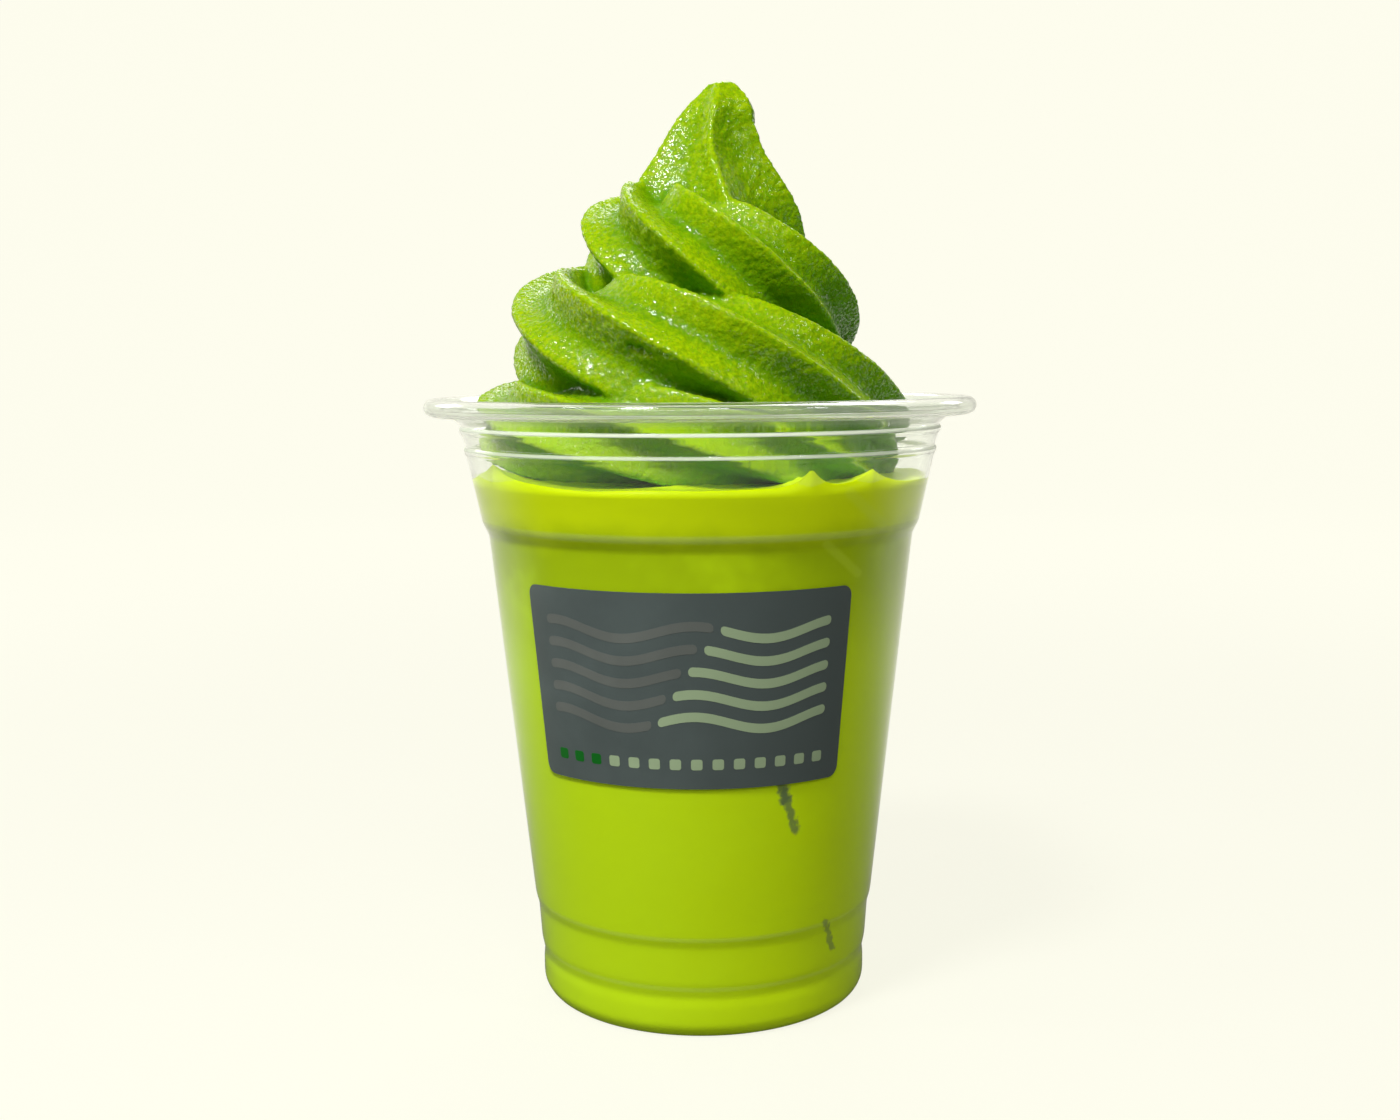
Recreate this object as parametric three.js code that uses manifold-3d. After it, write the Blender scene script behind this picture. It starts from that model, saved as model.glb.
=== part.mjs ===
// Ice cream float: a clear plastic cup of green tea drink with a coil of soft serve standing in it.
// Millimetres, +Z up, origin at the centre of the cup's foot, the front of the float towards -Y.
import * as THREE from 'three';
import { mergeVertices } from 'three/addons/utils/BufferGeometryUtils.js';
import Module from 'manifold-3d';

// ---------------------------------------------------------------- driving dimensions
const RIM_DIAMETER = 98;        // standard lid size of a cold-drink cup
const CUP_HEIGHT = 108;
const FOOT_DIAMETER = 59.2;     // widest place of the foot, just above the rounded corner
const FOOT_CORNER = 2.8;        // rounding between the flat foot and the wall
const WALL = 0.8;               // thickness of the plastic
const GAP = 0.3;                // clearance between neighbouring solids
const LOW_STEP_Z = 7.2;         // shallow crease above the foot
const FOOT_STEP_Z = 16.3;       // lower end of the step between foot and body
const FOOT_STEP_HEIGHT = 1.8;
const FOOT_STEP_OUT = 0.55;
const SHOULDER_Z = 84.0;        // lower end of the step under the mouth
const SHOULDER_HEIGHT = 2.3;
const SHOULDER_OUT = 0.85;
const BODY_TAPER = 0.108;       // growth of the radius per millimetre of height
const MOUTH_TAPER = 0.2;
const BEADS = [98.8, 102.4];    // heights of the two rings pressed into the mouth
const BEAD_PROUD = 0.45;
const BEAD_HALF = 0.75;
const LIP_HEIGHT = 3.1;         // height of the rolled lip
const LIP_WALL_Z = 103.8;       // where the wall starts to flare into the lip

const DRINK_LEVEL = 94;         // calm surface of the drink
// Ridges of drink drawn up the wall where the coil's crests enter it, by direction in degrees.
const MELT_RIDGES = [
  { direction: -147, height: 1.6, spread: 9 },
  { direction: -64, height: 2.8, spread: 5 },
  { direction: -50, height: 2.2, spread: 6 },
];
const MELT_REACH = 9;           // distance from the wall over which a ridge fades

const CREST_COUNT = 6;          // points of the star nozzle
const CREST_DEPTH = 0.27;       // depth of a groove as a share of the rope's half size
const CREST_ROUND = 0.16;       // rounding of a crest
const CRESTS_PER_TURN = 7.03;   // crests that roll past the outside in one turn of the coil
const CREST_START = 41;         // degrees above level of the first crest at the left of the top turn
const COIL_CENTRE = new THREE.Vector2(0.5, -1.4);
const COIL_TILT = 0.2;          // drop of each layer towards the right, as a slope
const FIRST_TURN = -0.25;       // turns are counted downwards from the left of the top layer
const LAST_TURN = 2.75;
const QUARTER = 0.25;
// Centre line of the rope at each quarter turn from the peak down into the drink.
const COIL_RADIUS = [6, 8, 10, 14.5, 18.5, 22, 24, 26, 29, 31, 28.5, 24, 21.5];
const COIL_HEIGHT = [136.5, 132, 129.5, 123, 120, 117, 114, 104, 102.5, 102, 101.5, 94, 84.5];
// Half width and half height of the rope at the left of the top, the middle and the low layer.
const ROPE_HALF_WIDTH = [15, 12.5, 10];
const ROPE_HALF_HEIGHT = [14, 14, 9];
const START_SIZE = 0.55;        // share of the full size that the rope starts with under the peak
const START_GROWTH = 0.36;      // turns over which it reaches its full size
const CORE_MARGIN = 2;          // smallest distance of the rope's skin from the coil's axis

const PEAK_TIP_Z = 163.2;
const PEAK_FOOT_Z = 133;
const PEAK_CRESTS = 5;
const PEAK_DEPTH = 0.2;
const PEAK_FRONT_CREST = 274;   // degrees, the crest that faces the viewer, half way up
const PEAK_TWIST = 45;          // degrees that the crests turn back from the foot to the tip
const PEAK_DEEPER = 1.15;       // size from front to back as a share of the width
// Radius and sideways offset of the drawn-out peak at even steps from its foot to its tip.
const PEAK_RADIUS = [18.5, 17.5, 15.5, 12.5, 9.6, 7.6, 6.0, 2.2];
const PEAK_OFFSET = [0.3, 0.5, 1.2, 1.8, 2.1, 3.0, 4.3, 4.4];

// ---------------------------------------------------------------- resolution
const CUP_SEGMENTS = 52;
const SECTION_POINTS = 42;
const STEPS_PER_TURN = 20;
const PEAK_RINGS = 14;

const wasm = await Module();
wasm.setup();

const degrees = THREE.MathUtils.degToRad;

// ---------------------------------------------------------------- solids
/** Joins a geometry's shared vertices, so that it is one closed skin. */
function weld(geometry) {
  const bare = geometry.clone();
  for (const name of Object.keys(bare.attributes)) {
    if (name !== 'position') bare.deleteAttribute(name);
  }
  return mergeVertices(bare, 1e-5);
}

/** Turns a closed geometry into a solid that can be joined and cut. */
function solidOf(geometry) {
  const welded = weld(geometry);
  const mesh = new wasm.Mesh({
    numProp: 3,
    vertProperties: Float32Array.from(welded.attributes.position.array),
    triVerts: Uint32Array.from(welded.index.array),
  });
  return new wasm.Manifold(mesh);
}

/** Turns a solid back into a geometry. */
function geometryOf(solid) {
  const mesh = solid.getMesh();
  const geometry = new THREE.BufferGeometry();
  geometry.setAttribute('position', new THREE.BufferAttribute(Float32Array.from(mesh.vertProperties), 3));
  geometry.setIndex(new THREE.BufferAttribute(Uint32Array.from(mesh.triVerts), 1));
  geometry.computeVertexNormals();
  return geometry;
}

/** The solid inside the outer skin, with the small pockets sealed between the layers filled. */
function outerSkin(solid) {
  return solid.decompose().find((piece) => piece.volume() > 0);
}

/** Spins an outline of [radius, height] points round the Z axis. */
function spin(outline, segments) {
  const points = outline.map(([radius, height]) => new THREE.Vector2(radius, height));
  return new THREE.LatheGeometry(points, segments).rotateX(Math.PI / 2);
}

/** Points of an arc about [radius, height], from one angle to another in degrees. */
function arc(centreRadius, centreHeight, size, from, to, steps) {
  const points = [];
  for (let i = 0; i <= steps; i++) {
    const angle = degrees(THREE.MathUtils.lerp(from, to, i / steps));
    points.push([centreRadius + size * Math.cos(angle), centreHeight + size * Math.sin(angle)]);
  }
  return points;
}

/** Value on a smooth curve through evenly spaced stations. */
function alongStations(stations, place) {
  const last = stations.length - 1;
  const index = THREE.MathUtils.clamp(Math.floor(place), 0, last - 1);
  const part = place - index;
  const at = (i) => {
    if (i < 0) return 2 * stations[0] - stations[1];
    if (i > last) return 2 * stations[last] - stations[last - 1];
    return stations[i];
  };
  const [a, b, c, d] = [at(index - 1), at(index), at(index + 1), at(index + 2)];
  const slope = part * (c - a);
  const bend = part ** 2 * (2 * a - 5 * b + 4 * c - d);
  const twist = part ** 3 * (3 * b - a - 3 * c + d);
  return 0.5 * (2 * b + slope + bend + twist);
}

/** Value on straight lines through evenly spaced stations, level before the first and after the last. */
function betweenStations(stations, place) {
  const last = stations.length - 1;
  const held = THREE.MathUtils.clamp(place, 0, last);
  const index = Math.min(Math.floor(held), last - 1);
  return THREE.MathUtils.lerp(stations[index], stations[index + 1], held - index);
}

// ---------------------------------------------------------------- cup
const footRadius = FOOT_DIAMETER / 2;
const rimRadius = RIM_DIAMETER / 2;

/** Outer face of the wall from the foot's corner up to the lip, as [radius, height] points. */
function outerWall() {
  const stepRadius = footRadius + 0.8;
  const bodyRadius = stepRadius + FOOT_STEP_OUT;
  const bodyTop = bodyRadius + BODY_TAPER * (SHOULDER_Z - FOOT_STEP_Z - FOOT_STEP_HEIGHT);
  const mouthRadius = bodyTop + SHOULDER_OUT + 0.3;
  const mouthZ = SHOULDER_Z + SHOULDER_HEIGHT;
  const mouthAt = (z) => mouthRadius + MOUTH_TAPER * (z - mouthZ);
  const wall = [
    ...arc(footRadius - FOOT_CORNER, FOOT_CORNER, FOOT_CORNER, -90, -5, 4),
    [footRadius, LOW_STEP_Z - 1.7],
    [footRadius - 0.2, LOW_STEP_Z],
    [footRadius + 0.35, LOW_STEP_Z + 2.6],
    [stepRadius, FOOT_STEP_Z],
    [bodyRadius, FOOT_STEP_Z + FOOT_STEP_HEIGHT],
    [bodyTop, SHOULDER_Z],
    [mouthRadius, mouthZ],
  ];
  for (const z of BEADS) {
    wall.push([mouthAt(z - BEAD_HALF), z - BEAD_HALF]);
    wall.push([mouthAt(z) + BEAD_PROUD, z]);
    wall.push([mouthAt(z + BEAD_HALF), z + BEAD_HALF]);
  }
  wall.push([mouthAt(LIP_WALL_Z) + 0.3, LIP_WALL_Z]);
  return wall;
}

/** The wall's inner face, offset inwards, from the floor of the cup upwards. */
function innerWall(offset, floor) {
  const inner = outerWall().filter(([, z]) => z > floor + 0.5);
  return inner.map(([radius, z]) => [radius - offset, z]);
}

/** Thin cup with a rounded foot, a stepped wall, two pressed rings and a rolled lip. */
function cupGeometry() {
  const outer = outerWall();
  const inner = innerWall(WALL, WALL);
  const lipHalf = LIP_HEIGHT / 2;
  const lipCentre = CUP_HEIGHT - lipHalf;
  const lip = [
    [rimRadius - 3.4, CUP_HEIGHT - LIP_HEIGHT - 0.2],
    ...arc(rimRadius - lipHalf, lipCentre, lipHalf, -90, 90, 6),
    [rimRadius - 3.2, CUP_HEIGHT - 0.7],
  ];
  const outline = [[0, 0], ...outer, ...lip, ...inner.reverse(), [inner.at(-1)[0] - 1.2, WALL], [0, WALL]];
  return spin(outline, CUP_SEGMENTS);
}

// ---------------------------------------------------------------- soft serve
/** Share of the rope's half size at a place round its section, counted in crests. */
function crestShare(place, depth) {
  const wave = Math.sin(Math.PI * place);
  const full = Math.hypot(1, CREST_ROUND) - CREST_ROUND;
  return 1 - depth * (Math.hypot(wave, CREST_ROUND) - CREST_ROUND) / full;
}

/** Point of the rope's skin at a turn of the coil and a place round its section, counted in crests. */
function ropePoint(turn, place, share, grow) {
  const station = (turn - FIRST_TURN) / QUARTER;
  const along = degrees(180 + 360 * turn);
  const round = degrees((360 / CREST_COUNT) * (place - CRESTS_PER_TURN * turn) + CREST_START);
  const growth = THREE.MathUtils.smoothstep(turn, FIRST_TURN, FIRST_TURN + START_GROWTH);
  const size = share * crestShare(place, CREST_DEPTH) * THREE.MathUtils.lerp(START_SIZE, 1, growth);
  const across = (betweenStations(ROPE_HALF_WIDTH, turn) + grow) * size * Math.cos(round);
  const up = (betweenStations(ROPE_HALF_HEIGHT, turn) + grow) * size * Math.sin(round);
  const radius = Math.max(alongStations(COIL_RADIUS, station) + across, CORE_MARGIN);
  return new THREE.Vector3(
    COIL_CENTRE.x + radius * Math.cos(along),
    COIL_CENTRE.y + radius * Math.sin(along),
    alongStations(COIL_HEIGHT, station) + up - COIL_TILT * across * Math.cos(along),
  );
}

/** Closed stretch of the rope between two turns: a capped cylinder whose skin is laid along the coil. */
function ropeStretch(from, to, grow) {
  const steps = Math.round((to - from) * STEPS_PER_TURN);
  const geometry = new THREE.CylinderGeometry(1, 1, 1, SECTION_POINTS, steps);
  const position = geometry.attributes.position;
  const point = new THREE.Vector3();
  for (let i = 0; i < position.count; i++) {
    point.fromBufferAttribute(position, i);
    const turn = THREE.MathUtils.lerp(from, to, 0.5 + point.y);
    const share = Math.hypot(point.x, point.z);
    const place = (CREST_COUNT * Math.atan2(point.z, point.x)) / (2 * Math.PI);
    position.setXYZ(i, ...ropePoint(turn, place, share, grow));
  }
  return geometry;
}

/** Star-shaped cone that the nozzle draws out on top of the coil. */
function peakGeometry() {
  const geometry = new THREE.CylinderGeometry(1, 1, 1, PEAK_CRESTS * 9, PEAK_RINGS);
  const position = geometry.attributes.position;
  const point = new THREE.Vector3();
  for (let i = 0; i < position.count; i++) {
    point.fromBufferAttribute(position, i);
    const height = point.y + 0.5;
    const station = height * (PEAK_RADIUS.length - 1);
    const angle = Math.atan2(-point.z, point.x);
    const crest = degrees(PEAK_FRONT_CREST - PEAK_TWIST * (height - 0.5));
    const place = (PEAK_CRESTS * (angle - crest)) / (2 * Math.PI);
    const radius = Math.hypot(point.x, point.z) * crestShare(place, PEAK_DEPTH)
      * alongStations(PEAK_RADIUS, station);
    position.setXYZ(
      i,
      alongStations(PEAK_OFFSET, station) + radius * Math.cos(angle),
      radius * PEAK_DEEPER * Math.sin(angle),
      THREE.MathUtils.lerp(PEAK_FOOT_Z, PEAK_TIP_Z, height),
    );
  }
  return geometry;
}

/** Fills the middle of the coil. */
function coreGeometry() {
  const outline = [[0, 84], [18, 84], [26, 90], [27, 104], [19, 113], [12, 124], [8, 134], [0, 134]];
  return spin(outline, 24).translate(COIL_CENTRE.x, COIL_CENTRE.y, 0);
}

/** The whole coil of soft serve; grow thickens the rope for the pocket in the drink. */
function softServe(grow) {
  let solid = solidOf(coreGeometry());
  for (let turn = FIRST_TURN; turn < LAST_TURN; turn += QUARTER) {
    solid = solid.add(solidOf(ropeStretch(turn, turn + QUARTER, grow)));
  }
  return outerSkin(solid.add(solidOf(peakGeometry())));
}

// ---------------------------------------------------------------- drink
/** Rise of the drink's surface above its calm level. */
function melt(x, y, edge) {
  const direction = THREE.MathUtils.radToDeg(Math.atan2(y, x));
  const reach = THREE.MathUtils.clamp(1 - (edge - Math.hypot(x, y)) / MELT_REACH, 0, 1);
  let rise = 0;
  for (const ridge of MELT_RIDGES) {
    rise += ridge.height * Math.exp(-(((direction - ridge.direction) / ridge.spread) ** 2));
  }
  return rise * reach ** 2;
}

/** Drink that fills the cup to its level, with a pocket for the soft serve. */
function drinkGeometry() {
  const side = innerWall(WALL + GAP, WALL).filter(([, z]) => z < DRINK_LEVEL);
  const floor = WALL + GAP;
  const [lastRadius, lastZ] = side.at(-1);
  const edge = lastRadius + MOUTH_TAPER * (DRINK_LEVEL - lastZ);
  const surface = [0, 2.5, 6].map((inset) => [edge - inset, DRINK_LEVEL]);
  const outline = [[0, floor], [side[0][0] - 1.2, floor], ...side, ...surface, [0, DRINK_LEVEL]];
  const body = spin(outline, CUP_SEGMENTS);
  const position = body.attributes.position;
  for (let i = 0; i < position.count; i++) {
    if (position.getZ(i) > DRINK_LEVEL - 0.01) {
      position.setZ(i, DRINK_LEVEL + melt(position.getX(i), position.getY(i), edge));
    }
  }
  return geometryOf(solidOf(body).subtract(softServe(GAP)));
}

// ---------------------------------------------------------------- model
const plastic = new THREE.MeshStandardMaterial({
  name: 'clear_plastic', color: 0xf2f6ee, roughness: 0.08, metalness: 0, transparent: true, opacity: 0.3,
});
const tea = new THREE.MeshStandardMaterial({
  name: 'green_drink', color: 0x9fc400, roughness: 0.25, metalness: 0,
});
const cream = new THREE.MeshStandardMaterial({
  name: 'green_soft_serve', color: 0x6fa800, roughness: 0.42, metalness: 0,
});

function part(name, geometry, material) {
  const mesh = new THREE.Mesh(geometry, material);
  mesh.name = name;
  return mesh;
}

const float = new THREE.Group();
float.name = 'ice_cream_float';
float.add(part('cup', cupGeometry(), plastic));
float.add(part('drink', drinkGeometry(), tea));
float.add(part('soft_serve', geometryOf(softServe(0)), cream));

export default float;
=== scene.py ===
"""Dresses the ice cream float: a clear cup of green drink with a coil of soft serve standing in it.

Every size below is in millimetres unless its name says otherwise, and becomes metres where a mesh is
made. The cup's axis is +Z, and the printed front of the cup faces -Y.
"""

import logging
import math
from abc import ABC, abstractmethod
from dataclasses import dataclass
from enum import Enum
from functools import cached_property
from typing import Iterable, Sequence

import bmesh
import bpy
import numpy as np
from mathutils import Matrix, Vector, noise
from mathutils.bvhtree import BVHTree


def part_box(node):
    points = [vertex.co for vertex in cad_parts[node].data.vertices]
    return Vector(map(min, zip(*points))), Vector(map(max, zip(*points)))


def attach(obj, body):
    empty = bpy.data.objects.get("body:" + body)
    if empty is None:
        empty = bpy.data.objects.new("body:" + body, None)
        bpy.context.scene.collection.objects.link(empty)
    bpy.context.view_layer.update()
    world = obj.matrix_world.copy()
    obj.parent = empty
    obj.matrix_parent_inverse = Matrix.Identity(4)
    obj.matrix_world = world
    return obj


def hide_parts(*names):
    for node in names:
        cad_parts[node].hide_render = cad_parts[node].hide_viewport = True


MM = 0.001
# Mesh attribute that masks the painted shade in the soft serve's hollows.
HOLLOW_SHADE = "hollow_shade"
LOG = logging.getLogger("float")

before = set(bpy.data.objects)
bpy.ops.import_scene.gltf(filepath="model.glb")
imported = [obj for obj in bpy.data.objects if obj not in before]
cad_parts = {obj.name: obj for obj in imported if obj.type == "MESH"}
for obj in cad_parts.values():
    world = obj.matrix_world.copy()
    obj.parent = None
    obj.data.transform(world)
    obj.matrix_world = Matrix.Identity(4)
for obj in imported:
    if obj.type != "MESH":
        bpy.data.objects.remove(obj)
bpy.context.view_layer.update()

Colour = tuple[float, float, float, float]
Place = tuple[float, float, float]
Profile = list[tuple[float, float]]
Faces = list[tuple[int, ...]]
Skin = tuple[np.ndarray, Faces]
Socket = bpy.types.NodeSocket
Material = bpy.types.Material
Piece = bpy.types.Object


# ---------------------------------------------------------------- numbers along a curve
def smooth_stations(stations: Sequence[float], place: np.ndarray) -> np.ndarray:
    """Reads a smooth curve through evenly spaced stations.

    Args:
        stations: Values at the places 0, 1, 2 and so on.
        place: Where to read the curve, counted in stations.

    Returns:
        The curve's values at those places.
    """
    values = np.asarray(stations, float)
    last = len(values) - 1
    ends = ([2 * values[0] - values[1]], values, [2 * values[-1] - values[-2]])
    padded = np.concatenate(ends)
    index = np.clip(np.floor(place).astype(int), 0, last - 1)
    part = place - index
    a, b, c, d = (padded[index + step] for step in range(4))
    slope = part * (c - a)
    bend = part ** 2 * (2 * a - 5 * b + 4 * c - d)
    twist = part ** 3 * (3 * b - a - 3 * c + d)
    return 0.5 * (2 * b + slope + bend + twist)


def smooth_step(value: np.ndarray, low: float, high: float) -> np.ndarray:
    """Eases from 0 at low to 1 at high."""
    part = np.clip((value - low) / (high - low), 0.0, 1.0)
    return part * part * (3 - 2 * part)


def arc(centre: tuple[float, float], size: float, start: float, end: float, steps: int) -> Profile:
    """Points of an arc in a profile.

    Args:
        centre: Radius and height of the arc's centre.
        size: The arc's own radius.
        start: First angle in degrees, 0 outwards and 90 upwards.
        end: Last angle in degrees.
        steps: Number of chords.

    Returns:
        The points, ends included.
    """
    angles = np.radians(np.linspace(start, end, steps + 1))
    return [(centre[0] + size * math.cos(a), centre[1] + size * math.sin(a)) for a in angles]


def resample(profile: Profile, step: float = 1.3, guard: float = 0.32) -> Profile:
    """Adds points on the long chords of a profile, close to its corners and further apart between.

    Args:
        profile: Radius and height points.
        step: Longest chord to leave.
        guard: How far from each corner the nearest added point lies.

    Returns:
        The profile with every point kept.
    """
    fine: Profile = []
    for (r0, z0), (r1, z1) in zip(profile, profile[1:]):
        length = math.hypot(r1 - r0, z1 - z0)
        places = [0.0]
        if length > 2 * guard:
            count = max(1, math.ceil((length - 2 * guard) / step))
            places += np.linspace(guard / length, 1 - guard / length, count + 1).tolist()
        fine += [(r0 + (r1 - r0) * place, z0 + (z1 - z0) * place) for place in places]
    return [*fine, profile[-1]]


def soften(profile: Profile, passes: int) -> Profile:
    """Rounds a profile's corners by averaging neighbours, with both ends held."""
    points = np.array(profile)
    for _ in range(passes):
        points[1:-1] = 0.25 * points[:-2] + 0.5 * points[1:-1] + 0.25 * points[2:]
    return [tuple(point) for point in points.tolist()]


# ---------------------------------------------------------------- meshes
def make_piece(name: str, vertices: np.ndarray, faces: Faces) -> Piece:
    """Makes a smooth-shaded mesh object.

    Args:
        name: The piece's name.
        vertices: One row of x, y, z in millimetres for each vertex.
        faces: Vertex numbers of each face.

    Returns:
        The object, linked to the scene.
    """
    mesh = bpy.data.meshes.new(name)
    mesh.from_pydata((np.asarray(vertices) * MM).tolist(), [], [tuple(face) for face in faces])
    mesh.validate()
    mesh.shade_smooth()
    piece = bpy.data.objects.new(name, mesh)
    bpy.context.scene.collection.objects.link(piece)
    return piece


def grid_faces(rows: int, columns: int, closed: bool, first: int = 0) -> Faces:
    """Quads between neighbouring rows of a grid of vertices.

    Args:
        rows: Number of rows.
        columns: Number of vertices in each row.
        closed: Whether each row joins up with itself.
        first: Number of the grid's first vertex.

    Returns:
        The faces.
    """
    faces = []
    for row in range(rows - 1):
        for column in range(columns if closed else columns - 1):
            following = (column + 1) % columns
            low, high = first + row * columns, first + (row + 1) * columns
            faces.append((low + column, low + following, high + following, high + column))
    return faces


def spin(profile: Profile, segments: int) -> Skin:
    """Spins a profile round the Z axis.

    Args:
        profile: Radius and height points, from the inside of the turn to its outside.
        segments: Number of steps round the axis.

    Returns:
        The vertices and faces.
    """
    radius, height = np.array(profile).T
    angle = np.linspace(0, 2 * math.pi, segments, endpoint=False)
    x = radius[:, None] * np.cos(angle)
    y = radius[:, None] * np.sin(angle)
    z = np.repeat(height[:, None], segments, axis=1)
    return stack(x, y, z), grid_faces(len(profile), segments, closed=True)


def stack(x: np.ndarray, y: np.ndarray, z: np.ndarray) -> np.ndarray:
    """Puts equal grids of x, y and z together as one row for each vertex."""
    return np.stack([x, y, z], axis=-1).reshape(-1, 3)


def closed_tube(vertices: np.ndarray, columns: int) -> Skin:
    """Skins a tube, and closes both its ends with a fan.

    Args:
        vertices: The tube's vertices, row after row.
        columns: Number of vertices in each row.

    Returns:
        The vertices with the two fan centres added, and all faces.
    """
    start, end = len(vertices), len(vertices) + 1
    last = start - columns
    faces = grid_faces(start // columns, columns, closed=True)
    centres = [vertices[:columns].mean(axis=0), vertices[last:last + columns].mean(axis=0)]
    for column in range(columns):
        following = (column + 1) % columns
        faces.append((start, following, column))
        faces.append((end, last + column, last + following))
    return np.vstack([vertices, centres]), faces


# ---------------------------------------------------------------- shader nodes
class Canvas:
    """Builds nodes in one node tree."""

    def __init__(self, tree: bpy.types.NodeTree) -> None:
        """Starts on an empty tree."""
        self.tree = tree
        tree.nodes.clear()

    @cached_property
    def coords(self) -> bpy.types.bpy_prop_collection:
        """Outputs of the tree's one Texture Coordinate node."""
        return self.add("TexCoord").outputs

    @cached_property
    def axes(self) -> bpy.types.bpy_prop_collection:
        """Sockets with x, y and z on the piece, in metres."""
        return self.feed(self.add("SeparateXYZ"), Vector=self.coords["Object"]).outputs

    def add(self, kind: str, **settings: object) -> bpy.types.Node:
        """Adds a node.

        Args:
            kind: The node's type name without the ShaderNode prefix.
            **settings: Properties of the node to set.

        Returns:
            The node.
        """
        prefix = "" if kind.startswith("NodeGroup") else "ShaderNode"
        node = self.tree.nodes.new(prefix + kind)
        for name, value in settings.items():
            setattr(node, name, value)
        return node

    def join(self, source: Socket, target: Socket) -> None:
        """Links two sockets."""
        self.tree.links.new(source, target)

    def feed(self, node: bpy.types.Node, **inputs: object) -> bpy.types.Node:
        """Sets or links a node's inputs.

        Args:
            node: The node.
            **inputs: Socket names, with underscores for spaces, or i0, i1 for sockets by number. A
                socket given as a value is linked, and anything else is set.

        Returns:
            The same node.
        """
        for name, value in inputs.items():
            by_number = name[0] == "i" and name[1:].isdigit()
            socket = node.inputs[int(name[1:])] if by_number else node.inputs[name.replace("_", " ")]
            if isinstance(value, Socket):
                self.join(value, socket)
            else:
                socket.default_value = value
        return node

    def group(self, tree: bpy.types.NodeTree, **inputs: object) -> Socket:
        """Places a node group with its own values, and returns its output."""
        return self.feed(self.add("Group", node_tree=tree), **inputs).outputs[0]

    def maths(self, operation: str, first: object, second: object = 0.0) -> Socket:
        """Adds a Math node and returns its output."""
        return self.feed(self.add("Math", operation=operation), i0=first, i1=second).outputs[0]

    def vector(
        self, operation: str, first: object, second: object = (0.0, 0.0, 0.0), output: int = 0
    ) -> Socket:
        """Adds a Vector Math node and returns one of its outputs, 0 the vector and 1 the value."""
        node = self.feed(self.add("VectorMath", operation=operation), i0=first, i1=second)
        return node.outputs[output]

    def ease(self, value: object, low: object, high: object) -> Socket:
        """Adds a smooth mask that goes from 0 at low to 1 at high, and returns its output."""
        node = self.add("MapRange", interpolation_type="SMOOTHSTEP")
        return self.feed(node, i0=value, i1=low, i2=high, i3=0.0, i4=1.0).outputs[0]

    def span(self, value: object, ends: tuple[float, float]) -> Socket:
        """Adds a smooth mask over metres, from 0 at the first end to 1 at the other, in millimetres."""
        return self.ease(value, ends[0] * MM, ends[1] * MM)

    def blend(self, mask: object, first: object, second: object) -> Socket:
        """Adds a colour mix and returns its output."""
        return self.feed(self.add("Mix", data_type="RGBA"), i0=mask, i6=first, i7=second).outputs[2]

    def mix(self, mask: object, first: bpy.types.Node, second: bpy.types.Node) -> bpy.types.Node:
        """Mixes two shaders."""
        return self.feed(self.add("MixShader"), i0=mask, i1=first.outputs[0], i2=second.outputs[0])

    def noise(self, scale: object, detail: float, roughness: float = 0.5) -> Socket:
        """Adds noise with a number of lumps per metre, and returns its output."""
        node = self.feed(self.add("TexNoise"), Vector=self.coords["Object"], Scale=scale)
        return self.feed(node, Detail=detail, Roughness=roughness).outputs["Fac"]

    def clouds(self, size: float, detail: float = 3.0) -> Socket:
        """Adds noise whose lumps are about size millimetres, and returns its output."""
        return self.noise(1 / (size * MM), detail, roughness=0.55)

    def bump(self, height: Socket, depth: float, strength: float = 1.0) -> Socket:
        """Turns a height into a normal, with its depth in millimetres."""
        node = self.add("Bump")
        return self.feed(node, Height=height, Strength=strength, Distance=depth * MM).outputs[0]


def new_group(name: str, inputs: dict[str, float], output: str) -> tuple:
    """Starts a shader node group.

    Args:
        name: The group's name.
        inputs: Names and default values of its float inputs.
        output: Name of its one float output.

    Returns:
        The group's canvas, the sockets of its inputs, and the socket that its output takes.
    """
    tree = bpy.data.node_groups.new(name, "ShaderNodeTree")
    for label, value in inputs.items():
        socket = tree.interface.new_socket(label, in_out="INPUT", socket_type="NodeSocketFloat")
        socket.default_value = value
    tree.interface.new_socket(output, in_out="OUTPUT", socket_type="NodeSocketFloat")
    canvas = Canvas(tree)
    return canvas, canvas.add("NodeGroupInput").outputs, canvas.add("NodeGroupOutput").inputs[output]


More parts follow.
